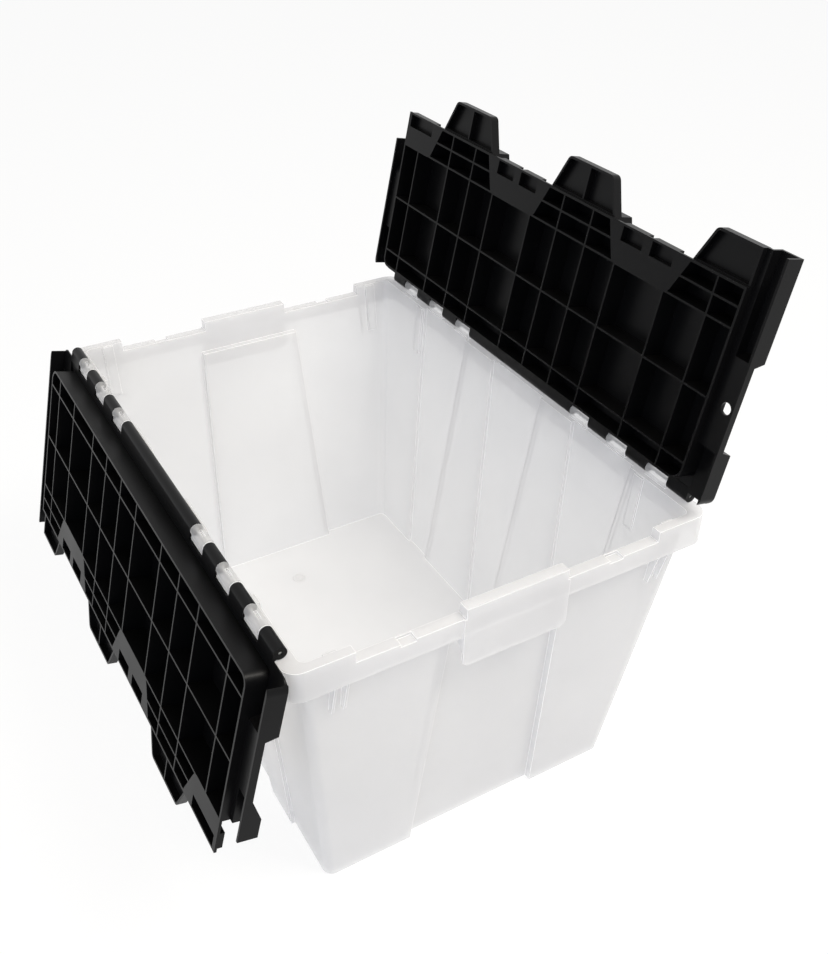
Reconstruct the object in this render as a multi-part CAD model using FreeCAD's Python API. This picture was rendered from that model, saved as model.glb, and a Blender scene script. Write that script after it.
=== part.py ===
import FreeCAD, Part
import os
from math import cos, hypot, radians, sin, tan

Vector = FreeCAD.Vector

# Attached-lid storage tote: one open box and two hinged lids whose tongues interlock.
# X is the width, Y the length along the hinges, Z is up, the origin is the middle of the base.
# A lid is drawn shut with its hinge axis at the origin: X runs to the free edge, Z = 0 is its top.

# Tote body
BASE_HALF_WIDTH = 152.0
BASE_HALF_LENGTH = 224.5
BODY_CORNER_RADIUS = 9.0
SIDE_LEDGE = 12.3           # rim beyond the long walls at the top
END_LEDGE = 6.4             # rim beyond the short walls at the top
WALL = 2.4
FLOOR = 2.8

# Rim with its hanging skirt
RIM_TOP = 308.5
RIM_HALF_WIDTH = 193.0
RIM_HALF_LENGTH = 269.5
RIM_CORNER_RADIUS = 14.0
RIM_PLATE = 2.6
SKIRT_HEIGHT = 28.5
RIM_STEP = 10.0             # drop of the rim between corner and handle
RIM_CORNER_LENGTH = 54.0    # raised corner along the short ends
TIE_NOTCH_WIDTH = 13.0
TIE_NOTCH_DEPTH = 2.6
TIE_NOTCH_FLOOR = 2.0

# Hooked handle on each short end
HANDLE_HALF_WIDTH = 47.0
HANDLE_DROP = 58.0          # height of the plate under the rim
HANDLE_PROUD = 1.5
HANDLE_PLATE_LIP = 1.8      # plate wider than the block behind it, on each side
HANDLE_CHAMFER = 4.0
HANDLE_WEB_RISE = 20.0      # slope of the side webs from the plate up to the wall
HANDLE_WEB_OVERLAP = 6.0    # side webs up behind the skirt

# Sunk panels of the short walls and raised panels of the long walls
END_PANEL_DEPTH = 6.8
END_PANEL_TOP_HALF = 53.0
END_PANEL_BASE_HALF = 67.0
END_PANEL_GAP = 34.5        # from the rim top down to the panel
SIDE_PANEL_PROUD = 3.5
SIDE_PANEL_END_SPACE = 134.0  # from the rim end to the middle of the outer panel
SIDE_PANEL_BASE_WIDTH = 43.0
SIDE_PANEL_STEEP_RUN = 18.0  # widening at the top on the steep edge
SIDE_PANEL_SLANT_RUN = 29.0  # widening at the top on the slanted edge
SIDE_PANEL_COUNT = 3

# Stacking ribs inside the corners and fins under the skirt
RIDGE_PROUD = 2.2
RIDGE_WIDTH = 11.0
RIDGE_LENGTH = 54.0
RIDGE_TOP_GAP = 1.0
END_RIDGE_OFFSET = 38.0     # from the rim side to the rib on a short wall
NEAR_RIDGE_OFFSET = 72.0    # from the rim end to the rib on a long wall
FAR_RIDGE_OFFSET = 89.0
FIN_THICKNESS = 2.2
FIN_SPACING = 10.0
FIN_DROP = 34.0
FIN_FOOT = 4.5              # depth of a fin at its foot
FIN_OVERLAP = 8.0           # fins up behind the skirt

# Hinge
HINGE_INSET = 5.0           # axis inside the face of the rim
HINGE_RISE = 5.9            # axis above the rim
WIRE_RADIUS = 1.5
WIRE_CLEARANCE = 0.06       # running gap of the wire in the lid
WIRE_END_INSET = 20.5       # from the rim end to the wire end
BODY_KNUCKLE_RADIUS = 5.5
LID_KNUCKLE_RADIUS = 5.4
KNUCKLE_PITCH = 54.5
KNUCKLE_END_INSET = 58.5    # from the rim end to the middle of the last clear knuckle
KNUCKLE_COUNT = 3
KNUCKLE_LENGTH = 26.6
KNUCKLE_GAP = 0.6
END_KNUCKLE_LENGTH = 25.0
KNUCKLE_ARM_START = 7.0     # the lid starts this far from the axis
SLOT_LENGTH = 9.0
SLOT_WIDTH = 1.8
SLOT_DEPTH = 2.5

# Lid
LID_OVERHANG = 5.5          # lid beyond the rim end
LID_SKIN = 2.5
LID_WALL = 2.2
LID_RIB = 1.8
RIB_TIP = -23.2
FRAME_START = 16.2          # hinge-side wall of the rib frame
LONG_END_CORNER_RADIUS = 14.0
SHORT_END_CORNER_RADIUS = 9.0
FRAME_END_INSET = 24.0      # lid end to the end wall of the rib frame
HINGE_SIDE_RIB = 35.0
FREE_EDGE_GAP = 0.8         # each lid stops this far before the middle
LID_CORNER_RADIUS = 10.0
STOP_CLEARANCE = 0.45       # gap of the opened lid to the corner of the rim
ARM_BOTTOM = -5.4
ARM_HEEL = 2.2              # arm past the start of the lid
ARM_SHOULDER = 1.8          # slope of the arm down to the barrel
FLAT_OVERLAP = 3.0          # hinge strip under the flat top
END_RIB_INSET = 29.5        # cross rib from the end of the frame
TONGUE_RIB_OFFSET = 20.8    # cross ribs each side of a tongue
POCKET_RIB_OFFSET = 31.3    # cross ribs each side of a pocket

# Interlocking free edge
OUTER_PITCH_INSET = 17.0    # middle of the outer tongue or pocket from the end of the frame
TONGUE_REACH = 31.0
POCKET_REACH = 32.8
TONGUE_SIDE_RUN = 14.3      # sideways run of the tongue sides over their reach
TONGUE_SIDE_GAP = 4.2       # between a tongue and the pocket of the other lid
TONGUE_CORNER_RADIUS = 6.0
TONGUE_HEIGHT = 8.2
TONGUE_LIFT = 3.0           # tongue edge above the rib tips
POCKET_FLOOR = 2.2
LAND_RISE = 5.9
LAND_CLEARANCE = 0.8        # between a land and the inside of the other lid's tongue
LAND_WIDTH = 16.0
LAND_WALL = 1.8
LAND_SPACING = 6.4
END_LAND_GAP = 3.0          # outer land to the end of the frame

# Ends of the lid over the rim
END_WEB = 2.5
HIGH_WEB_TOP = -2.9
LOW_WEB_TOP = -12.9
END_SKIRT_BOTTOM = -19.4
END_WEB_START = 5.0
LONG_SKIRT_START = 5.0
SHORT_SKIRT_START = 9.0
CORNER_STEP_GAP = 5.0       # lid step to the step of the rim
HANDLE_SIDE_GAP = 7.0       # lid pocket beside the handle
HANDLE_POCKET_INSET = 18.8
SHORT_RAMP = 3.0
LONG_RAMP = 20.0
SHORT_END_GAP = 1.5         # the short end stops this far before the pocket
TIE_HOLE_RADIUS = 5.1
TIE_HOLE_FROM_HINGE = 92.0
TIE_HOLE_INSET = 10.5

# Poses of the lids in degrees from shut
LEFT_LID_ANGLE = 256.0
RIGHT_LID_ANGLE = 101.8

# Values that follow from the sizes above
SIDE_TAPER = (RIM_HALF_WIDTH - SIDE_LEDGE - BASE_HALF_WIDTH) / RIM_TOP
END_TAPER = (RIM_HALF_LENGTH - END_LEDGE - BASE_HALF_LENGTH) / RIM_TOP
RAISED_CORNER_FROM = RIM_HALF_WIDTH - RIM_CORNER_LENGTH
SIDE_PANEL_PITCH = RIM_HALF_LENGTH - SIDE_PANEL_END_SPACE
WIRE_HALF_LENGTH = RIM_HALF_LENGTH - WIRE_END_INSET
LID_HALF_LENGTH = RIM_HALF_LENGTH + LID_OVERHANG
HINGE_X = RIM_HALF_WIDTH - HINGE_INSET
HINGE_Z = RIM_TOP + HINGE_RISE
RIM_LOW = RIM_TOP - RIM_STEP
SKIRT_BOTTOM = RIM_TOP - SKIRT_HEIGHT
FREE_EDGE = HINGE_X - FREE_EDGE_GAP
TONGUE_TIP = FREE_EDGE + TONGUE_REACH
APEX = FREE_EDGE - POCKET_REACH
MIDDLE_RIB = (HINGE_SIDE_RIB + APEX) / 2
EDGE_RIB = (APEX + FREE_EDGE) / 2
FRAME_HALF_LENGTH = LID_HALF_LENGTH - FRAME_END_INSET
EDGE_PITCH = (FRAME_HALF_LENGTH - OUTER_PITCH_INSET) / 2.5
TONGUE_HALF_WIDTH = (EDGE_PITCH - TONGUE_SIDE_GAP) / 2
EDGE_SLANT = TONGUE_SIDE_RUN / TONGUE_REACH
CORNER_POCKET_END = RIM_CORNER_LENGTH - HINGE_INSET + CORNER_STEP_GAP
HANDLE_POCKET_START = HINGE_X - HANDLE_HALF_WIDTH - HANDLE_SIDE_GAP
TONGUE_EDGE = RIB_TIP + TONGUE_LIFT
TONGUE_TOP = TONGUE_EDGE + TONGUE_HEIGHT
FLOOR_TOP = RIB_TIP + POCKET_FLOOR
LAND_TOP = FLOOR_TOP + LAND_RISE
BIG = 4 * RIM_HALF_LENGTH     # beyond every piece, for cutting blocks


def box(x0, x1, y0, y1, z0, z1):
    """Block between two corners."""
    return Part.makeBox(x1 - x0, y1 - y0, z1 - z0, Vector(x0, y0, z0))


def rounded_wire(points, z):
    """Closed outline through (x, y, radius) corners at height z."""
    edges = []
    joints = []
    count = len(points)
    for i in range(count):
        x, y, radius = points[i]
        before = points[i - 1]
        after = points[(i + 1) % count]
        corner = Vector(x, y, z)
        if radius <= 0:
            joints.append((corner, None, corner))
            continue
        to_before = Vector(before[0], before[1], z) - corner
        to_after = Vector(after[0], after[1], z) - corner
        to_before.normalize()
        to_after.normalize()
        half = to_before.getAngle(to_after) / 2
        bisector = to_before + to_after
        bisector.normalize()
        along = radius / tan(half)
        centre = corner + bisector * hypot(along, radius)
        middle = centre - bisector * radius
        joints.append((corner + to_before * along, middle, corner + to_after * along))
    for i in range(count):
        start, middle, end = joints[i]
        if middle is not None:
            edges.append(Part.Arc(start, middle, end).toShape())
        following = joints[(i + 1) % count][0]
        if end.distanceToPoint(following) > 1e-6:
            edges.append(Part.LineSegment(end, following).toShape())
    return Part.Wire(edges)


def slab(points, z0, z1):
    """Upright solid over an outline of (x, y, radius) corners."""
    face = Part.Face(rounded_wire(points, z0))
    return face.extrude(Vector(0, 0, z1 - z0))


def ring_slab(points, thickness, z0, z1):
    """Upright wall of one thickness inside an outline."""
    outer = Part.Face(rounded_wire(points, z0))
    inner = Part.Face(outer.Wires[0].makeOffset2D(-thickness, 2))
    tall = Vector(0, 0, z1 - z0)
    return outer.extrude(tall).cut(inner.extrude(tall))


def rectangle(half_x, half_y, radius):
    """Corners of a centred rounded rectangle."""
    return [
        (-half_x, -half_y, radius),
        (half_x, -half_y, radius),
        (half_x, half_y, radius),
        (-half_x, half_y, radius),
    ]


def profile_along_y(points, y0, y1):
    """Solid with an (x, z) profile that runs along the length."""
    corners = [Vector(x, y0, z) for x, z in points]
    face = Part.Face(Part.makePolygon(corners + corners[:1]))
    return face.extrude(Vector(0, y1 - y0, 0))


def profile_along_x(points, x0, x1):
    """Solid with a (y, z) profile that runs across the width."""
    corners = [Vector(x0, y, z) for y, z in points]
    face = Part.Face(Part.makePolygon(corners + corners[:1]))
    return face.extrude(Vector(x1 - x0, 0, 0))


def cylinder_along_y(radius, y0, y1, x=0.0, z=0.0):
    """Round bar along the length."""
    return Part.makeCylinder(radius, y1 - y0, Vector(x, y0, z), Vector(0, 1, 0))


def turned_half(shape):
    """Copy turned half round about the upright axis."""
    copy = shape.copy()
    copy.rotate(Vector(0, 0, 0), Vector(0, 0, 1), 180)
    return copy


def side_face(z):
    """Outside of a long wall at height z."""
    return BASE_HALF_WIDTH + SIDE_TAPER * z


def end_face(z):
    """Outside of a short wall at height z."""
    return BASE_HALF_LENGTH + END_TAPER * z


def frustum(low, high, z0, z1):
    """Flat-sided solid between two (x0, x1, y0, y1) rectangles at two heights."""
    x_range = (min(low[0], high[0]), max(low[1], high[1]))
    y_range = (min(low[2], high[2]), max(low[3], high[3]))
    across = profile_along_y([(low[0], z0), (low[1], z0), (high[1], z1), (high[0], z1)], *y_range)
    along = profile_along_x([(low[2], z0), (low[3], z0), (high[3], z1), (high[2], z1)], *x_range)
    return across.common(along)


def tapered_block(z0, z1, inset):
    """Body volume between two heights, inset from its outside, with rounded corners."""
    section = []
    for z in (z0, z1):
        half_x = side_face(z) - inset
        half_y = end_face(z) - inset
        section.append((-half_x, half_x, -half_y, half_y))
    block = frustum(section[0], section[1], z0, z1)
    corners = [edge for edge in block.Edges if edge.BoundBox.ZLength > z1 - z0 - 1]
    return block.makeFillet(BODY_CORNER_RADIUS - inset, corners)


def end_panel(grow):
    """Recess in the far short wall, wider at the base, grown for its inner side."""
    top = RIM_TOP - END_PANEL_GAP + grow
    slope = (END_PANEL_TOP_HALF - END_PANEL_BASE_HALF) / (RIM_TOP - END_PANEL_GAP)
    section = []
    for z in (-grow - 1, top):
        half = END_PANEL_BASE_HALF + slope * z + grow
        face = end_face(z) - END_PANEL_DEPTH - grow
        section.append((-half, half, face, face + BIG))
    return frustum(section[0], section[1], -grow - 1, top)


def side_panel(middle, inset):
    """Raised panel of the right long wall, wider at the rim, inset for its hollow."""
    half = SIDE_PANEL_BASE_WIDTH / 2
    section = []
    low = FLOOR if inset else 0.0
    for z, share in ((low, low / RIM_TOP), (RIM_TOP, 1.0)):
        face = side_face(z) + SIDE_PANEL_PROUD - inset
        slanted = middle - half - SIDE_PANEL_SLANT_RUN * share + inset
        steep = middle + half + SIDE_PANEL_STEEP_RUN * share - inset
        section.append((face - SIDE_PANEL_PROUD - WALL, face, slanted, steep))
    return frustum(section[0], section[1], low, RIM_TOP)


def side_panels(inset):
    """Raised panels of both long walls."""
    found = []
    for i in range(SIDE_PANEL_COUNT):
        middle = SIDE_PANEL_PITCH * (i - (SIDE_PANEL_COUNT - 1) / 2)
        panel = side_panel(middle, inset)
        found += [panel, turned_half(panel)]
    return found


def end_panels(grow):
    """Sunk panels of both short walls."""
    panel = end_panel(grow)
    return [panel, turned_half(panel)]


def low_rim_gaps(grow):
    """Spaces over the four lowered lengths of the rim."""
    found = []
    for side in (-1, 1):
        inner = HANDLE_HALF_WIDTH - grow
        outer = RAISED_CORNER_FROM + grow
        x0, x1 = sorted((side * inner, side * outer))
        z0 = RIM_LOW - (RIM_PLATE if grow else 0)
        gap = box(x0, x1, BASE_HALF_LENGTH, BIG, z0, BIG)
        found += [gap, turned_half(gap)]
    return found


def rim():
    """Rim plate with its skirt, stepped down between corners and handles."""
    outline = rectangle(RIM_HALF_WIDTH, RIM_HALF_LENGTH, RIM_CORNER_RADIUS)
    inset = rectangle(RIM_HALF_WIDTH - WALL, RIM_HALF_LENGTH - WALL, RIM_CORNER_RADIUS - WALL)
    envelope = slab(outline, SKIRT_BOTTOM, RIM_TOP).cut(low_rim_gaps(0))
    hollow = slab(inset, SKIRT_BOTTOM - 1, RIM_TOP - RIM_PLATE).cut(low_rim_gaps(WALL))
    return envelope.cut(hollow)


def handle():
    """Hooked plate in front of the far short wall with its two side webs."""
    front = RIM_HALF_LENGTH + HANDLE_PROUD
    bottom = RIM_TOP - HANDLE_DROP
    half = HANDLE_HALF_WIDTH + HANDLE_PLATE_LIP
    cut = HANDLE_CHAMFER
    outline = [
        (-half, RIM_TOP), (-half, bottom + cut), (-half + cut, bottom),
        (half - cut, bottom), (half, bottom + cut), (half, RIM_TOP),
    ]
    shapes = [profile_along_y(outline, front - WALL, front)]
    wall = end_face(bottom) - END_PANEL_DEPTH - WALL / 2
    high = SKIRT_BOTTOM + HANDLE_WEB_OVERLAP
    behind = front - WALL / 2
    side = [(behind, bottom), (wall, bottom + HANDLE_WEB_RISE), (wall, high), (behind, high)]
    inner = half - cut
    for x in (-inner, inner - WALL):
        shapes.append(profile_along_x(side, x, x + WALL))
    return shapes


def corner_ridges():
    """Stacking ribs inside the wall tops, for the far and the right wall."""
    top = RIM_TOP - RIDGE_TOP_GAP
    foot = top - RIDGE_LENGTH
    half = RIDGE_WIDTH / 2
    reach = RIDGE_PROUD + WALL
    found = []
    offset = RIM_HALF_WIDTH - END_RIDGE_OFFSET
    for middle in (-offset, offset):
        section = []
        for z in (foot, top):
            y = end_face(z) - reach
            section.append((middle - half, middle + half, y, y + reach - WALL / 2))
        found.append(frustum(section[0], section[1], foot, top))
    for middle in (NEAR_RIDGE_OFFSET - RIM_HALF_LENGTH, RIM_HALF_LENGTH - FAR_RIDGE_OFFSET):
        section = []
        for z in (foot, top):
            x = side_face(z) - reach
            section.append((x, x + reach - WALL / 2, middle - half, middle + half))
        found.append(frustum(section[0], section[1], foot, top))
    return found + [turned_half(shape) for shape in found]


def skirt_fins():
    """Small fins that carry the skirt near the far right corner."""
    found = []
    for step in (-0.5, 0.5):
        middle = RIM_HALF_WIDTH - END_RIDGE_OFFSET - FIN_SPACING / 2 + step * FIN_SPACING
        low = SKIRT_BOTTOM - FIN_DROP
        wall = end_face(low) - WALL / 2
        lip = RIM_HALF_LENGTH - WALL / 2
        foot = wall + WALL / 2 + FIN_FOOT
        high = SKIRT_BOTTOM + FIN_OVERLAP
        side = [(wall, low), (foot, low), (lip, SKIRT_BOTTOM), (lip, high), (wall, high)]
        found.append(profile_along_x(side, middle - FIN_THICKNESS / 2, middle + FIN_THICKNESS / 2))
    return found


def mirrored(shapes):
    """The shapes and their copies across both upright middle planes."""
    found = list(shapes)
    found += [shape.mirror(Vector(0, 0, 0), Vector(1, 0, 0)) for shape in shapes]
    return found + [shape.mirror(Vector(0, 0, 0), Vector(0, 1, 0)) for shape in found]


def knuckle_places():
    """Middle of each clear knuckle along the length."""
    last = RIM_HALF_LENGTH - KNUCKLE_END_INSET
    far = [last - i * KNUCKLE_PITCH for i in reversed(range(KNUCKLE_COUNT))]
    return [-y for y in far] + far


def body_knuckles():
    """Clear knuckles on the right rim, each on a small block."""
    found = []
    for y in knuckle_places():
        y0 = y - KNUCKLE_LENGTH / 2
        y1 = y + KNUCKLE_LENGTH / 2
        found.append(cylinder_along_y(BODY_KNUCKLE_RADIUS, y0, y1, HINGE_X, HINGE_Z))
        found.append(box(HINGE_X - HINGE_INSET, HINGE_X + HINGE_INSET, y0, y1, RIM_TOP - 1, HINGE_Z))
    return found


def knuckle_cuts():
    """Bore for the right wire and the small slot over it in each clear knuckle."""
    found = []
    top = HINGE_Z + BODY_KNUCKLE_RADIUS
    for y in knuckle_places():
        y0 = y - KNUCKLE_LENGTH / 2
        y1 = y + KNUCKLE_LENGTH / 2
        found.append(cylinder_along_y(WIRE_RADIUS, y0 - 1, y1 + 1, HINGE_X, HINGE_Z))
        found.append(box(
            HINGE_X - SLOT_WIDTH / 2, HINGE_X + SLOT_WIDTH / 2,
            y - SLOT_LENGTH / 2, y + SLOT_LENGTH / 2, top - SLOT_DEPTH, BIG,
        ))
    return found


def tie_notches():
    """Notches in the lowered rim beside the handles."""
    return tie_blocks(TIE_NOTCH_WIDTH / 2, RIM_LOW - TIE_NOTCH_DEPTH, RIM_TOP, BIG)


def tie_floors():
    """Floors under the notches, inside the skirt."""
    top = RIM_LOW - TIE_NOTCH_DEPTH
    return tie_blocks(TIE_NOTCH_WIDTH / 2 + WALL, top - TIE_NOTCH_FLOOR, top, RIM_HALF_LENGTH - WALL / 2)


def tie_blocks(half, z0, z1, y1):
    """Blocks at the four tie notches, from the wall to a distance from the middle."""
    found = []
    middle = HINGE_X - TIE_HOLE_FROM_HINGE
    y0 = end_face(RIM_LOW) - WALL / 2
    for x in (-middle, middle):
        block = box(x - half, x + half, y0, y1, z0, z1)
        found += [block, turned_half(block)]
    return found


def tote():
    """Whole box as one moulding."""
    ends = handle()
    ends += [turned_half(shape) for shape in ends]
    body = tapered_block(0, RIM_TOP, 0).cut(end_panels(0))
    body = body.fuse(side_panels(0) + [rim()] + ends + mirrored(skirt_fins()) + tie_floors())
    cavity = tapered_block(FLOOR, RIM_TOP, WALL).cut(end_panels(WALL))
    body = body.cut([cavity] + side_panels(WALL) + low_rim_gaps(0))
    knuckles = body_knuckles()
    cuts = knuckle_cuts()
    body = body.fuse(knuckles + [turned_half(shape) for shape in knuckles] + corner_ridges())
    body = body.cut(cuts + [turned_half(shape) for shape in cuts] + tie_notches())
    return body.removeSplitter()


def pocket_centres():
    """Middle of each pocket along the lid, the last one cut off by the short end."""
    return [1.5 * EDGE_PITCH, -0.5 * EDGE_PITCH, -2.5 * EDGE_PITCH]


def tongue_centres():
    """Middle of each tongue along the lid, the last one running into the long end."""
    return [-1.5 * EDGE_PITCH, 0.5 * EDGE_PITCH, 2.5 * EDGE_PITCH]


def tongue_half(x):
    """Half the width of a tongue, and of the lid between pockets, at distance x."""
    return TONGUE_HALF_WIDTH - EDGE_SLANT * (x - FREE_EDGE)


def pocket_half(x):
    """Half the width of a pocket at distance x from the hinge."""
    return EDGE_PITCH - tongue_half(x)


def frame_outline():
    """Plan of the raised part of the lid: the rib frame with its zigzag edge."""
    end = FRAME_HALF_LENGTH
    radius = TONGUE_CORNER_RADIUS
    points = [(FRAME_START, -end, SHORT_END_CORNER_RADIUS), (APEX, -end, 0)]
    for centre in sorted(pocket_centres()):
        if centre - pocket_half(APEX) > -end:
            points.append((FREE_EDGE, centre - pocket_half(FREE_EDGE), 0))
            points.append((APEX, centre - pocket_half(APEX), radius))
        points.append((APEX, centre + pocket_half(APEX), radius))
        points.append((FREE_EDGE, centre + pocket_half(FREE_EDGE), 0))
    points.append((FREE_EDGE, end, 0))
    points.append((FRAME_START, end, LONG_END_CORNER_RADIUS))
    return points


def cross_rib_places():
    """Places of the cross ribs: two under each tongue, two at each pocket and one near each end."""
    end = FRAME_HALF_LENGTH - END_RIB_INSET
    found = [-end, end]
    for centre in tongue_centres()[:2]:
        found += [centre - TONGUE_RIB_OFFSET, centre + TONGUE_RIB_OFFSET]
    for centre in pocket_centres()[:2]:
        found += [centre - POCKET_RIB_OFFSET, centre + POCKET_RIB_OFFSET]
    return sorted(found)


def rib_frame():
    """Walls and ribs of the underside, all inside the frame outline."""
    outline = frame_outline()
    top = -LID_SKIN
    walls = ring_slab(outline, LID_WALL, RIB_TIP, top)
    ribs = []
    for x in (HINGE_SIDE_RIB, MIDDLE_RIB, APEX - LID_RIB / 2, EDGE_RIB):
        ribs.append(box(x - LID_RIB / 2, x + LID_RIB / 2, -BIG, BIG, RIB_TIP, top))
    for y in cross_rib_places():
        ribs.append(box(0, BIG, y - LID_RIB / 2, y + LID_RIB / 2, RIB_TIP, top))
    inside = slab(outline, RIB_TIP, top)
    return [walls] + [rib.common(inside) for rib in ribs]


def stop_line(x):
    """Highest top of the lid near the hinge that clears the rim when fully open."""
    sine = sin(radians(LEFT_LID_ANGLE))
    cosine = cos(radians(LEFT_LID_ANGLE))
    corner_x = -HINGE_INSET * cosine - HINGE_RISE * sine
    corner_z = HINGE_INSET * sine - HINGE_RISE * cosine
    return corner_z + (x - corner_x) * cosine / sine - STOP_CLEARANCE


def hinge_edge():
    """Sloping strip of the lid between the hinge and the flat top."""
    near = KNUCKLE_ARM_START
    near_top = stop_line(near)
    run = (stop_line(near + 1) - near_top)
    flat = near - near_top / run
    profile = [
        (near, near_top), (flat, 0.0), (flat + FLAT_OVERLAP, 0.0), (flat + FLAT_OVERLAP, -LID_SKIN),
        (FRAME_START + LID_WALL, -LID_SKIN - 1.0), (near, ARM_BOTTOM),
    ]
    length = LID_HALF_LENGTH - LID_CORNER_RADIUS
    return profile_along_y(profile, -length, length), flat


def lid_knuckle_spans():
    """Start and end of each lid knuckle along the length."""
    half = KNUCKLE_LENGTH / 2 + KNUCKLE_GAP
    places = knuckle_places()[KNUCKLE_COUNT:]
    middle = places[0] - half
    far = [(a + half, b - half) for a, b in zip(places, places[1:])]
    last = places[-1] + half
    far.append((last, last + END_KNUCKLE_LENGTH))
    return [(-b, -a) for a, b in far] + [(-middle, middle)] + far


def lid_knuckles():
    """Barrels on the wire with the arms that join them to the lid."""
    found = []
    near = KNUCKLE_ARM_START
    heel = near + ARM_HEEL
    top = stop_line(near)
    arm = [
        (0.0, ARM_BOTTOM), (heel, ARM_BOTTOM), (heel, stop_line(heel)),
        (near, top), (near - ARM_SHOULDER, top + ARM_SHOULDER), (0.0, 0.0),
    ]
    for y0, y1 in lid_knuckle_spans():
        found.append(cylinder_along_y(LID_KNUCKLE_RADIUS, y0, y1))
        found.append(profile_along_y(arm, y0, y1))
    return found


def hinge_clearances():
    """Bore for the wire and the spaces round the clear knuckles."""
    half = KNUCKLE_LENGTH / 2 + KNUCKLE_GAP
    length = LID_HALF_LENGTH
    found = [cylinder_along_y(WIRE_RADIUS + WIRE_CLEARANCE, -length, length)]
    for y in knuckle_places():
        found.append(box(-HINGE_RISE, KNUCKLE_ARM_START + ARM_HEEL, y - half, y + half, -BIG, BIG))
    return found


def tongues():
    """Shallow pans that reach over the other lid, each with a lip, the free ones with a middle rib."""
    found = []
    root = FREE_EDGE - LID_WALL / 2
    radius = TONGUE_CORNER_RADIUS
    for centre in tongue_centres():
        outline = [
            (root, centre - tongue_half(FREE_EDGE), 0), (FREE_EDGE, centre - tongue_half(FREE_EDGE), 0),
            (TONGUE_TIP, centre - tongue_half(TONGUE_TIP), radius),
        ]
        if centre + tongue_half(FREE_EDGE) > FRAME_HALF_LENGTH:
            outline += [(TONGUE_TIP, FRAME_HALF_LENGTH, 0), (root, FRAME_HALF_LENGTH, 0)]
        else:
            high = centre + tongue_half(FREE_EDGE)
            outline.append((TONGUE_TIP, centre + tongue_half(TONGUE_TIP), radius))
            outline += [(FREE_EDGE, high, 0), (root, high, 0)]
            low = centre - LID_RIB / 2
            tip = TONGUE_TIP - LID_WALL / 2
            found.append(box(root, tip, low, low + LID_RIB, TONGUE_EDGE, TONGUE_TOP - LID_WALL / 2))
        found.append(slab(outline, TONGUE_TOP - LID_WALL, TONGUE_TOP))
        found.append(ring_slab(outline, LID_WALL, TONGUE_EDGE, TONGUE_TOP - LID_WALL))
    return found


def land_spans(centre):
    """Ends of the raised lands in a pocket: two, or one that runs to the short end."""
    inner = LAND_SPACING / 2
    far = FREE_EDGE + LAND_WIDTH + 2 * FREE_EDGE_GAP
    outer = tongue_half(far) - LID_WALL - LAND_CLEARANCE
    if centre - outer < -FRAME_HALF_LENGTH:
        return [(-FRAME_HALF_LENGTH + END_LAND_GAP, centre + outer)]
    return [(centre - outer, centre - inner), (centre + inner, centre + outer)]


def pockets():
    """Lowered floors between the tongues with raised lands that sit inside the other lid's tongues."""
    found = []
    overlap = LID_WALL / 2
    for centre in pocket_centres():
        low = centre - pocket_half(APEX) - overlap
        low_edge = centre - pocket_half(FREE_EDGE) - overlap
        if low < -FRAME_HALF_LENGTH:
            low = low_edge = -FRAME_HALF_LENGTH
        high = centre + pocket_half(APEX) + overlap
        high_edge = centre + pocket_half(FREE_EDGE) + overlap
        outline = [
            (APEX - overlap, low, 0), (FREE_EDGE, low_edge, 0),
            (FREE_EDGE, high_edge, 0), (APEX - overlap, high, 0),
        ]
        found.append(slab(outline, RIB_TIP, FLOOR_TOP))
        for y0, y1 in land_spans(centre):
            found.append(box(FREE_EDGE - LAND_WIDTH, FREE_EDGE, y0, y1, RIB_TIP, LAND_TOP))
    return found


def land_hollows():
    """Undersides of the lands."""
    found = []
    for centre in pocket_centres():
        for y0, y1 in land_spans(centre):
            found.append(box(
                FREE_EDGE - LAND_WIDTH + LAND_WALL, FREE_EDGE - LAND_WALL,
                y0 + LAND_WALL, y1 - LAND_WALL, RIB_TIP - 1, LAND_TOP - LAND_WALL,
            ))
    return found


def web_line(end, ramp, shift, drop):
    """Stepped height line of the lid end from hinge to free edge, clear of the rim near the hinge."""
    run = stop_line(1.0) - stop_line(0.0)
    clear = (HIGH_WEB_TOP - stop_line(0.0)) / run
    near = stop_line(END_WEB_START) if drop == 0 else HIGH_WEB_TOP - drop
    return [
        (END_WEB_START, near),
        (clear, HIGH_WEB_TOP - drop),
        (CORNER_POCKET_END - shift, HIGH_WEB_TOP - drop),
        (CORNER_POCKET_END + SHORT_RAMP - shift, LOW_WEB_TOP - drop),
        (HANDLE_POCKET_START - ramp + shift, LOW_WEB_TOP - drop),
        (HANDLE_POCKET_START + shift, HIGH_WEB_TOP - drop),
        (end, HIGH_WEB_TOP - drop),
    ]


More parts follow.
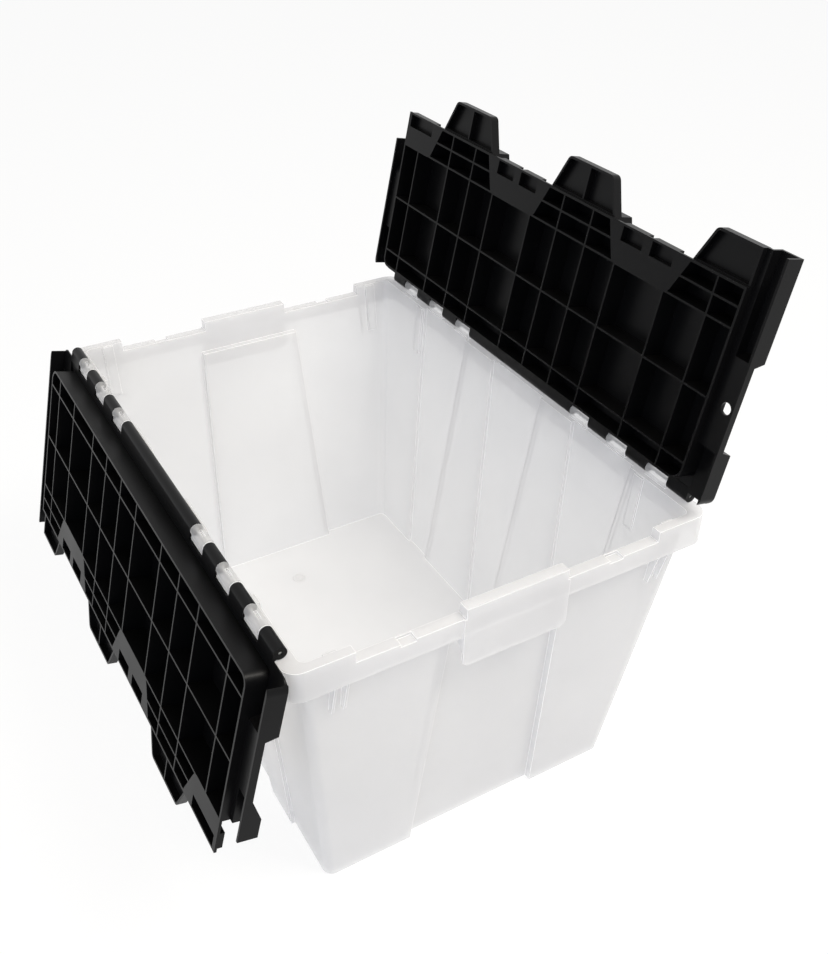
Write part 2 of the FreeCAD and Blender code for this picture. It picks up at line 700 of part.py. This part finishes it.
def lid_end(skirt_start, end, ramp):
    """Stepped web and skirt over one short end of the rim, drawn on the far end."""
    upper = web_line(end, ramp, 0.0, 0.0)
    lower = web_line(end, ramp, END_WEB, END_WEB)
    inside = FRAME_HALF_LENGTH - LID_WALL / 2
    pocket = LID_HALF_LENGTH - HANDLE_POCKET_INSET
    web = profile_along_y(upper + lower[::-1], inside, LID_HALF_LENGTH)
    web = web.cut(box(HANDLE_POCKET_START - ramp + END_WEB, BIG, 0, pocket - LID_WALL, -BIG, BIG))
    start = HANDLE_POCKET_START - ramp
    strip = box(start, end, inside, pocket, LOW_WEB_TOP - END_WEB, LOW_WEB_TOP)
    low = LOW_WEB_TOP - END_WEB
    wall = profile_along_y([(start, low)] + upper[4:] + [(end, low)], pocket - LID_WALL, pocket)
    line = [(skirt_start, END_SKIRT_BOTTOM), (skirt_start, HIGH_WEB_TOP)] + upper[2:]
    line.append((end, END_SKIRT_BOTTOM))
    skirt = profile_along_y(line, LID_HALF_LENGTH - LID_WALL, LID_HALF_LENGTH)
    shape = web.fuse([strip, wall, skirt])
    start = END_WEB_START
    plan = [
        (start, 0, 0), (BIG, 0, 0), (BIG, LID_HALF_LENGTH, 0), (start, LID_HALF_LENGTH, LID_CORNER_RADIUS),
    ]
    return shape.common(slab(plan, -BIG, BIG))


def tie_hole():
    """Round hole through the long end, over a notch of the rim."""
    place = Vector(TIE_HOLE_FROM_HINGE, LID_HALF_LENGTH - TIE_HOLE_INSET, END_SKIRT_BOTTOM)
    return Part.makeCylinder(TIE_HOLE_RADIUS, -END_SKIRT_BOTTOM, place)


def lid():
    """One lid as one moulding, shut, with its hinge axis at the origin."""
    strip, flat = hinge_edge()
    outline = frame_outline()
    skin = slab(outline, -LID_SKIN, 0).cut(box(0, flat, -BIG, BIG, -BIG, BIG))
    long_end = lid_end(LONG_SKIRT_START, TONGUE_TIP, SHORT_RAMP)
    short_end = lid_end(SHORT_SKIRT_START, APEX - SHORT_END_GAP, LONG_RAMP)
    short_end = short_end.mirror(Vector(0, 0, 0), Vector(0, 1, 0))
    shapes = [skin, strip, long_end, short_end] + rib_frame() + tongues() + pockets()
    body = shapes[0].multiFuse(shapes[1:]).cut(land_hollows())
    body = body.fuse(lid_knuckles()).cut(hinge_clearances() + [tie_hole()])
    return body.removeSplitter()


def hinge_wire(side):
    """Straight steel wire through all knuckles of one hinge."""
    return cylinder_along_y(WIRE_RADIUS, -WIRE_HALF_LENGTH, WIRE_HALF_LENGTH, side * HINGE_X, HINGE_Z)


def place_left(shape, angle):
    """Lid on the left hinge, opened by the angle."""
    copy = shape.copy()
    copy.rotate(Vector(0, 0, 0), Vector(0, -1, 0), angle)
    copy.translate(Vector(-HINGE_X, 0, HINGE_Z))
    return copy


def place_right(shape, angle):
    """Lid on the right hinge: the same moulding turned half round."""
    copy = turned_half(shape)
    copy.rotate(Vector(0, 0, 0), Vector(0, 1, 0), angle)
    copy.translate(Vector(HINGE_X, 0, HINGE_Z))
    return copy


def main():
    """Build every piece and write one file each."""
    os.makedirs("parts", exist_ok=True)
    moulding = lid()
    nodes = {
        "tote": tote(),
        "lid_left": place_left(moulding, LEFT_LID_ANGLE),
        "lid_right": place_right(moulding, RIGHT_LID_ANGLE),
        "hinge_wire_left": hinge_wire(-1),
        "hinge_wire_right": hinge_wire(1),
    }
    for name, shape in nodes.items():
        shape.exportStep("parts/" + name + ".step")
        print(name, "solids", len(shape.Solids), "valid", shape.isValid())


main()
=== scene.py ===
"""Attached-lid storage tote: milky clear polypropylene box with two black hinged lids."""

import logging
import math
from dataclasses import dataclass, field
from enum import Enum
from typing import Any

import bmesh
import bpy
import numpy as np
from mathutils import Matrix, Vector


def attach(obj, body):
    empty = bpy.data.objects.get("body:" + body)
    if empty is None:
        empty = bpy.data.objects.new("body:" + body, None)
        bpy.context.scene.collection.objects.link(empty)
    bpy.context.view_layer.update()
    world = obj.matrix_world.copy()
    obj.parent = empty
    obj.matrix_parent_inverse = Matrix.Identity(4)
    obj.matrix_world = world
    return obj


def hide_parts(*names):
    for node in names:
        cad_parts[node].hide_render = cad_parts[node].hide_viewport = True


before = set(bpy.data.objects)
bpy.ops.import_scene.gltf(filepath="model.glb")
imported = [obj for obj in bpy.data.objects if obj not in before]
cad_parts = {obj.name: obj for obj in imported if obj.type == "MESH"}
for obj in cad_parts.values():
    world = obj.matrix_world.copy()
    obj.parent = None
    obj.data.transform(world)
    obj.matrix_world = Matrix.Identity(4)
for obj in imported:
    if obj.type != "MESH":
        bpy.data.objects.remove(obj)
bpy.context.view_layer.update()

logging.basicConfig(level=logging.INFO, format="%(message)s")
log = logging.getLogger("tote")

MM = 0.001
WELD_MM = 0.002
WHITE = (1.0, 1.0, 1.0, 1.0)

# Numbers of the colour sockets of a Mix node: its two inputs and its result.
MIX_FIRST, MIX_SECOND, MIX_RESULT = 6, 7, 2


class Light(Enum):
    """Softboxes of the studio, named for what they do."""

    KEY = "key"
    FILL = "fill"
    TOP = "top"


class Region(Enum):
    """Parts of the milky moulding that look different, by number of their material slot."""

    WALL = 0
    EDGE = 1
    KNUCKLE = 2


class Side(str, Enum):
    """Sides of the tote that carry a lid, as the photograph's viewer sees them."""

    LEFT = "left"
    RIGHT = "right"


def linear(hex_colour: str) -> tuple[float, float, float, float]:
    """Turn an sRGB hex colour into linear red, green, blue and a full alpha.

    The sRGB curve is a straight line up to 0.04045 and a power of 2.4 above it.

    Args:
        hex_colour: six hex digits, such as "1a1a1c".

    Returns:
        Linear colour values from 0 to 1.
    """
    parts = [int(hex_colour[i:i + 2], 16) / 255 for i in (0, 2, 4)]
    return (*(c / 12.92 if c <= 0.04045 else ((c + 0.055) / 1.055) ** 2.4 for c in parts), 1.0)


def add(
    tree: bpy.types.NodeTree, kind: str, links: dict[Any, Any] | None = None, **settings: Any,
) -> bpy.types.Node:
    """Add a node with its settings and links.

    Args:
        tree: node tree of the material or world.
        kind: Blender's name for the node, without the leading "ShaderNode".
        links: input name or number to a value or to another node's output socket.
        settings: attributes of the node.

    Returns:
        The new node.
    """
    node = tree.nodes.new("ShaderNode" + kind)
    for name, value in settings.items():
        setattr(node, name, value)
    for name, value in (links or {}).items():
        if isinstance(value, bpy.types.NodeSocket):
            tree.links.new(value, node.inputs[name])
        else:
            node.inputs[name].default_value = value
    return node


def blank_material(name: str) -> bpy.types.Material:
    """Make a material with an empty node tree.

    Args:
        name: name of the material.

    Returns:
        The material.
    """
    material = bpy.data.materials.new(name)
    material.use_nodes = True
    material.node_tree.nodes.clear()
    return material


def background_rays(tree: bpy.types.NodeTree) -> bpy.types.NodeSocket:
    """Pick out the rays that find plain white behind the object.

    Args:
        tree: node tree of the paper or of the world.

    Returns:
        A socket that is 1 for camera, transmission and glossy rays, and 0 for the rest.
    """
    rays = add(tree, "LightPath").outputs
    seen = add(
        tree, "Math", {0: rays["Is Camera Ray"], 1: rays["Is Transmission Ray"]}, operation="MAXIMUM",
    )
    shown = add(tree, "Math", {0: seen.outputs[0], 1: rays["Is Glossy Ray"]}, operation="MAXIMUM")
    return shown.outputs[0]


@dataclass(frozen=True)
class MilkyPolypropylene:
    """Natural polypropylene, injection moulded.

    Unpigmented and 2.4 mm thick it looks milky: light goes in, scatters and shows dim shapes
    behind it, and the polished mould leaves a soft satin gloss. The rounded edges carry a painted
    highlight, a whiter colour and a faint white glow as if lit, and they let less through so
    that they look more solid. The hinge knuckles let more of what is behind them through.
    """

    name: str = "natural_polypropylene_moulded"
    colour: str = "f6f6f7"
    thick_colour: str = "ececee"
    painted_edge_colour: str = "ffffff"
    clear_colour: str = "f4f4f4"
    ior: float = 1.49
    roughness: float = 0.3
    gloss_spread: tuple[float, float] = (-0.05, 0.06)
    through_wall: float = 0.5
    through_edge: float = 0.12
    through_knuckle: float = 0.62
    painted_edge_glow: float = 0.18
    scattered: float = 0.56
    flow_mm: float = 90.0
    polish_mm: float = 3.0
    polish_height_mm: float = 0.1
    polish_strength: float = 0.05

    def build(self, region: Region) -> bpy.types.Material:
        """Make the material of one region.

        Args:
            region: the walls, the rounded edges or the hinge knuckles.

        Returns:
            The material.
        """
        at_edge = region is Region.EDGE
        material = blank_material(self.name + "_" + region.name.lower())
        tree = material.node_tree
        place = add(tree, "TexCoord").outputs["Object"]
        # Melt flow leaves broad, barely visible clouds, about 90 mm across.
        clouds = add(tree, "TexNoise", {
            "Vector": place, "Scale": 1 / (self.flow_mm * MM), "Detail": 2.0,
        }).outputs["Fac"]
        # On the rounded edges the tone runs from pure white to the plain colour: a painted highlight.
        tone = add(tree, "Mix", {
            "Factor": clouds,
            MIX_FIRST: linear(self.painted_edge_colour if at_edge else self.colour),
            MIX_SECOND: linear(self.colour if at_edge else self.thick_colour),
        }, data_type="RGBA").outputs[MIX_RESULT]
        gloss = add(tree, "MapRange", {
            "Value": clouds,
            "To Min": self.roughness + self.gloss_spread[0],
            "To Max": self.roughness + self.gloss_spread[1],
        })
        # Mould polish marks of about 3 mm show only as a slight unevenness of the gloss.
        marks = add(tree, "TexNoise", {
            "Vector": place, "Scale": 1 / (self.polish_mm * MM), "Detail": 1.0,
        })
        relief = add(tree, "Bump", {
            "Height": marks.outputs["Fac"], "Strength": self.polish_strength,
            "Distance": self.polish_height_mm * MM,
        })
        # The rounded edges also glow faintly white, though nothing there is a lamp: a painted
        # highlight.
        skin = add(tree, "BsdfPrincipled", {
            "Base Color": tone, "Roughness": gloss.outputs["Result"], "IOR": self.ior,
            "Normal": relief.outputs["Normal"], "Emission Color": linear(self.painted_edge_colour),
            "Emission Strength": self.painted_edge_glow if at_edge else 0.0,
        })
        # Part of the light is scattered through to the other side, and part passes straight on.
        glow = add(tree, "BsdfTranslucent", {"Color": tone})
        milk = add(tree, "MixShader", {0: self.scattered, 1: skin.outputs[0], 2: glow.outputs[0]})
        clear = add(tree, "BsdfTransparent", {"Color": linear(self.clear_colour)})
        through = {
            Region.WALL: self.through_wall,
            Region.EDGE: self.through_edge,
            Region.KNUCKLE: self.through_knuckle,
        }
        whole = add(tree, "MixShader", {0: through[region], 1: milk.outputs[0], 2: clear.outputs[0]})
        add(tree, "OutputMaterial", {"Surface": whole.outputs[0]})
        return material


@dataclass(frozen=True)
class BlackPolypropylene:
    """Carbon-black polypropylene, injection moulded in a fine spark-eroded mould.

    The fine grain spreads highlights into a broad grey sheen, and the black stays deep in the cells.
    """

    name: str = "black_polypropylene_moulded"
    colour: str = "070708"
    worn_colour: str = "0c0c0d"
    ior: float = 1.49
    roughness: float = 0.34
    gloss_spread: tuple[float, float] = (-0.07, 0.08)
    gloss_level: float = 0.13
    patch_mm: float = 60.0
    grain_mm: float = 0.8
    grain_height_mm: float = 0.05
    grain_strength: float = 0.12

    def build(self) -> bpy.types.Material:
        """Make the material.

        Returns:
            The material.
        """
        material = blank_material(self.name)
        tree = material.node_tree
        place = add(tree, "TexCoord").outputs["Object"]
        # Handling leaves greyer patches about 60 mm across.
        patches = add(tree, "TexNoise", {
            "Vector": place, "Scale": 1 / (self.patch_mm * MM), "Detail": 4.0,
        }).outputs["Fac"]
        tone = add(tree, "Mix", {
            "Factor": patches, MIX_FIRST: linear(self.colour), MIX_SECOND: linear(self.worn_colour),
        }, data_type="RGBA").outputs[MIX_RESULT]
        gloss = add(tree, "MapRange", {
            "Value": patches,
            "To Min": self.roughness + self.gloss_spread[0],
            "To Max": self.roughness + self.gloss_spread[1],
        })
        # The real spark grain is about 0.1 mm; it is drawn at 0.8 mm so that it shows.
        grain = add(tree, "TexNoise", {
            "Vector": place, "Scale": 1 / (self.grain_mm * MM), "Detail": 1.0,
        })
        relief = add(tree, "Bump", {
            "Height": grain.outputs["Fac"], "Strength": self.grain_strength,
            "Distance": self.grain_height_mm * MM,
        })
        skin = add(tree, "BsdfPrincipled", {
            "Base Color": tone, "Roughness": gloss.outputs["Result"], "IOR": self.ior,
            "Specular IOR Level": self.gloss_level, "Normal": relief.outputs["Normal"],
        })
        add(tree, "OutputMaterial", {"Surface": skin.outputs[0]})
        return material


@dataclass(frozen=True)
class DrawnSteel:
    """Bright steel wire, cold drawn: fine lines run along it."""

    name: str = "steel_wire_drawn"
    colour: str = "c9c9c8"
    roughness: float = 0.28
    gloss_spread: tuple[float, float] = (-0.08, 0.12)
    line_mm: float = 0.3
    line_stretch: float = 0.02

    def build(self) -> bpy.types.Material:
        """Make the material.

        Returns:
            The material.
        """
        material = blank_material(self.name)
        tree = material.node_tree
        place = add(tree, "TexCoord").outputs["Object"]
        # The wires run along y, so the pattern is drawn out in y to make lines of it.
        drawn = add(tree, "Mapping", {"Vector": place, "Scale": (1.0, self.line_stretch, 1.0)})
        lines = add(tree, "TexNoise", {"Vector": drawn.outputs[0], "Scale": 1 / (self.line_mm * MM)})
        gloss = add(tree, "MapRange", {
            "Value": lines.outputs["Fac"],
            "To Min": self.roughness + self.gloss_spread[0],
            "To Max": self.roughness + self.gloss_spread[1],
        })
        skin = add(tree, "BsdfPrincipled", {
            "Base Color": linear(self.colour), "Metallic": 1.0, "Roughness": gloss.outputs["Result"],
        })
        add(tree, "OutputMaterial", {"Surface": skin.outputs[0]})
        return material


@dataclass(frozen=True)
class StudioPaper:
    """Matt white background paper, which reads as plain white with a faint shadow."""

    name: str = "white_background_paper"
    colour: str = "f4f4f4"
    wash: float = 0.92

    def build(self) -> bpy.types.Material:
        """Make the material.

        Returns:
            The material.
        """
        material = blank_material(self.name)
        tree = material.node_tree
        share = add(tree, "Math", {0: background_rays(tree), 1: self.wash}, operation="MULTIPLY")
        paper = add(tree, "BsdfDiffuse", {"Color": linear(self.colour)})
        white = add(tree, "Emission", {"Color": WHITE, "Strength": 1.0})
        whole = add(tree, "MixShader", {0: share.outputs[0], 1: paper.outputs[0], 2: white.outputs[0]})
        add(tree, "OutputMaterial", {"Surface": whole.outputs[0]})
        return material


def dress(piece: bpy.types.Object, *materials: bpy.types.Material) -> None:
    """Give a piece its materials; its faces use the first one.

    Args:
        piece: the object.
        materials: what it is made of.
    """
    piece.data.materials.clear()
    for material in materials:
        piece.data.materials.append(material)


def new_object(name: str, data: bpy.types.ID) -> bpy.types.Object:
    """Put a mesh, a lamp or a camera into the scene, at the origin.

    Args:
        name: name of the new object.
        data: its mesh, lamp or camera.

    Returns:
        The new object.
    """
    thing = bpy.data.objects.new(name, data)
    bpy.context.scene.collection.objects.link(thing)
    return thing


def surface(name: str, grid: np.ndarray, closed: bool) -> bpy.types.Object:
    """Make a smooth surface from a grid of points; points that coincide, as at a pole, are merged.

    Args:
        name: name of the new piece.
        grid: points in metres, rows by columns by three.
        closed: whether the last column joins the first.

    Returns:
        The new piece.
    """
    rows, columns = grid.shape[:2]
    index = np.arange(rows * columns).reshape(rows, columns)
    if closed:
        index = np.concatenate([index, index[:, :1]], axis=1)
    corners = [index[:-1, :-1], index[1:, :-1], index[1:, 1:], index[:-1, 1:]]
    faces = np.stack(corners, axis=-1).reshape(-1, 4)
    mesh = bpy.data.meshes.new(name)
    mesh.from_pydata(grid.reshape(-1, 3).tolist(), [], faces.tolist())
    work = bmesh.new()
    work.from_mesh(mesh)
    bmesh.ops.remove_doubles(work, verts=work.verts, dist=WELD_MM * MM)
    work.to_mesh(mesh)
    work.free()
    mesh.shade_smooth()
    return new_object(name, mesh)


def moulded_copy(
    node: str, name: str, radius_mm: float, flat_degrees: float = 0.6, sharp_degrees: float = 32.0,
) -> bpy.types.Object:
    """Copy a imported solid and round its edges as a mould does.

    Args:
        node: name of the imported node.
        name: name of the new piece.
        radius_mm: edge radius.
        flat_degrees: triangles that meet at less than this become one flat face.
        sharp_degrees: edges that turn by more than this are rounded.

    Returns:
        The new piece, which stands for the node.
    """
    work = bmesh.new()
    work.from_mesh(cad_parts[node].data)
    bmesh.ops.remove_doubles(work, verts=work.verts, dist=WELD_MM * MM)
    bmesh.ops.dissolve_limit(
        work, angle_limit=math.radians(flat_degrees), verts=work.verts, edges=work.edges,
        use_dissolve_boundaries=False,
    )
    mesh = bpy.data.meshes.new(name)
    work.to_mesh(mesh)
    work.free()
    mesh.shade_smooth()
    piece = new_object(name, mesh)
    bevel = piece.modifiers.new("mould_radius", "BEVEL")
    bevel.width = radius_mm * MM
    bevel.segments = 2
    bevel.limit_method = "ANGLE"
    bevel.angle_limit = math.radians(sharp_degrees)
    bevel.miter_outer = "MITER_SHARP"
    bevel.use_clamp_overlap = True
    normals = piece.modifiers.new("flat_faces", "WEIGHTED_NORMAL")
    normals.keep_sharp = True
    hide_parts(node)
    return piece


@dataclass
class ToteBody:
    """The milky box with its two hinge wires."""

    node: str = "tote"
    edge_mm: float = 0.9
    floor_mm: float = 2.8
    gate_place_mm: tuple[float, float] = (0.0, 157.0)
    gate_mm: float = 9.0
    gate_ring_mm: float = 6.5
    gate_width_mm: float = 1.1
    gate_rise_mm: float = 0.45
    gate_sink: float = 0.05
    gate_grid: tuple[int, int] = (19, 48)
    hinge_mm: tuple[float, float] = (188.0, 314.4)
    knuckle_mm: float = 5.5
    knuckle_slack_mm: float = 0.2
    plastic: MilkyPolypropylene = field(default_factory=MilkyPolypropylene)
    wire: DrawnSteel = field(default_factory=DrawnSteel)

    def build(self) -> list[bpy.types.Object]:
        """Make the box and dress the wires.

        Returns:
            The new pieces.
        """
        regions = [self.plastic.build(region) for region in Region]
        wall = regions[Region.WALL.value]
        steel = self.wire.build()
        box = moulded_copy(self.node, "tote_moulding", self.edge_mm)
        dress(box, *regions)
        self.clear_knuckles(box)
        # The bevel's rounded faces take the edge material, with its painted white highlight and glow.
        box.modifiers["mould_radius"].material = Region.EDGE.value
        dress(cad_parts[self.node], wall)
        gate = self.gate_mark()
        dress(gate, wall)
        for piece in (box, gate):
            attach(piece, "tote_body")
        for side in Side:
            dress(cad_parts["hinge_wire_" + side], steel)
        return [box, gate]

    def clear_knuckles(self, box: bpy.types.Object) -> None:
        """Give the faces of the hinge knuckles their clearer material.

        A face counts where its middle lies within a knuckle's radius of the hinge axis.

        Args:
            box: the moulding.
        """
        reach = self.knuckle_mm + self.knuckle_slack_mm
        for face in box.data.polygons:
            across = abs(face.center.x) / MM - self.hinge_mm[0]
            height = face.center.z / MM - self.hinge_mm[1]
            if math.hypot(across, height) < reach:
                face.material_index = Region.KNUCKLE.value

    def gate_mark(self) -> bpy.types.Object:
        """Make the round mark that the mould's gate leaves on the floor.

        At radius r the height over the floor is rise times the sum of a ring, exp(-((r - ring) / w)^2),
        and a stub in the middle, exp(-(r / w)^2), less the sink, so that the outer edge dips into the
        floor.

        Returns:
            The piece.
        """
        rings, spokes = self.gate_grid
        radius = np.linspace(0.0, self.gate_mm, rings)[:, None]
        turn = np.linspace(0.0, 2 * np.pi, spokes, endpoint=False)[None, :]
        ring = np.exp(-((radius - self.gate_ring_mm) / self.gate_width_mm) ** 2)
        stub = np.exp(-(radius / self.gate_width_mm) ** 2)
        height = self.floor_mm + self.gate_rise_mm * (ring + stub - self.gate_sink) + 0 * turn
        x = radius * np.cos(turn) + self.gate_place_mm[0]
        y = radius * np.sin(turn) + self.gate_place_mm[1]
        return surface("gate_mark", np.stack([x, y, height], axis=-1) * MM, closed=True)


@dataclass
class HingedLid:
    """One black lid."""

    side: Side
    edge_mm: float = 0.5
    plastic: BlackPolypropylene = field(default_factory=BlackPolypropylene)

    def build(self) -> list[bpy.types.Object]:
        """Make the lid; both lids share one material.

        Returns:
            The new pieces.
        """
        plastic = bpy.data.materials.get(self.plastic.name) or self.plastic.build()
        node = "lid_" + self.side
        lid = moulded_copy(node, node + "_moulding", self.edge_mm)
        dress(lid, plastic)
        dress(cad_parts[node], plastic)
        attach(lid, self.side + "_lid")
        return [lid]


@dataclass(frozen=True)
class Softbox:
    """One square lamp: place and side length in metres, power in watts, sRGB hex colour."""

    light: Light
    place: tuple[float, float, float]
    size: float
    power: float
    colour: str


@dataclass
class Studio:
    """Floor, soft lights and camera; lengths are in metres and angles in degrees."""

    azimuth: float = -30.51
    elevation: float = 35.06
    roll: float = 0.65
    distance: float = 1.30525
    target: tuple[float, float, float] = (0.15797, 0.15711, 0.09626)
    focal_px: float = 1078.42
    image_height_px: int = 954
    sensor_height_mm: float = 24.0
    view_end: float = 50.0
    paper_half: float = 8.0
    paper_drop: float = 0.0005
    paper_points: int = 5
    room_light: float = 0.35
    lamp_target: tuple[float, float, float] = (0.0, 0.0, 0.2)
    softboxes: tuple[Softbox, ...] = (
        Softbox(Light.KEY, (0.7, -1.25, 2.4), 0.9, 78.0, "fffbf2"),
        Softbox(Light.FILL, (-2.2, -1.8, 0.95), 1.7, 24.0, "dbe7ff"),
        Softbox(Light.TOP, (-0.3, -0.5, 2.9), 1.6, 15.0, "ffefd2"),
    )

    def build(self) -> None:
        """Set up floor, world, lamps and camera."""
        self.floor()
        self.world()
        for softbox in self.softboxes:
            self.lamp(softbox)
        self.camera()

    def floor(self) -> None:
        """Lay the paper: a flat square grid, x and y evenly spaced, just below the tote's base."""
        side = np.linspace(-self.paper_half, self.paper_half, self.paper_points)
        x, y = np.meshgrid(side, side, indexing="ij")
        grid = np.stack([x, y, np.full_like(x, -self.paper_drop)], axis=-1)
        paper = surface("paper", grid, closed=False)
        dress(paper, StudioPaper().build())

    def world(self) -> None:
        """Light the object evenly and dimly from all sides, with plain white behind it."""
        world = bpy.data.worlds.new("studio")
        bpy.context.scene.world = world
        world.use_nodes = True
        tree = world.node_tree
        tree.nodes.clear()
        soft = add(tree, "Background", {"Color": WHITE, "Strength": self.room_light})
        white = add(tree, "Background", {"Color": WHITE, "Strength": 1.0})
        whole = add(tree, "MixShader", {
            0: background_rays(tree), 1: soft.outputs[0], 2: white.outputs[0],
        })
        add(tree, "OutputWorld", {"Surface": whole.outputs[0]})

    def lamp(self, softbox: Softbox) -> None:
        """Hang one softbox so that it looks at the object.

        Args:
            softbox: where it hangs and how it shines.
        """
        data = bpy.data.lights.new("softbox_" + softbox.light.value, "AREA")
        data.size = softbox.size
        data.energy = softbox.power
        data.color = linear(softbox.colour)[:3]
        lamp = new_object(data.name, data)
        lamp.matrix_world = self.looking(Vector(softbox.place), Vector(self.lamp_target), 0.0)

    def looking(self, place: Vector, target: Vector, roll: float) -> Matrix:
        """Work out a placement whose own -Z looks at a target with its own Y upwards.

        Args:
            place: position.
            target: point to look at.
            roll: turn about the view axis in degrees.

        Returns:
            World matrix.
        """
        back = (place - target).normalized()
        level = Vector((0, 0, 1)).cross(back).normalized()
        upright = back.cross(level)
        turn = math.radians(roll)
        right = level * math.cos(turn) + upright * math.sin(turn)
        up = upright * math.cos(turn) - level * math.sin(turn)
        matrix = Matrix((right, up, back)).transposed().to_4x4()
        matrix.translation = place
        return matrix

    def camera(self) -> None:
        """Stand the camera where the photograph was taken from."""
        azimuth, elevation = math.radians(self.azimuth), math.radians(self.elevation)
        back = Vector((
            math.sin(azimuth) * math.cos(elevation),
            -math.cos(azimuth) * math.cos(elevation),
            math.sin(elevation),
        ))
        target = Vector(self.target)
        data = bpy.data.cameras.new("camera")
        data.sensor_fit = "VERTICAL"
        data.sensor_height = self.sensor_height_mm
        data.lens = self.sensor_height_mm * self.focal_px / self.image_height_px
        data.clip_end = self.view_end
        camera = new_object("camera", data)
        camera.matrix_world = self.looking(target + back * self.distance, target, self.roll)
        bpy.context.scene.camera = camera


def main() -> None:
    """Build the tote, the lids and the studio."""
    for assembly in (ToteBody(), HingedLid(Side.LEFT), HingedLid(Side.RIGHT)):
        for piece in assembly.build():
            log.info("piece %s: %d faces before its modifiers", piece.name, len(piece.data.polygons))
    Studio().build()
    bpy.context.scene.view_settings.view_transform = "Standard"
    bpy.context.view_layer.update()


if __name__ == "__main__":
    main()
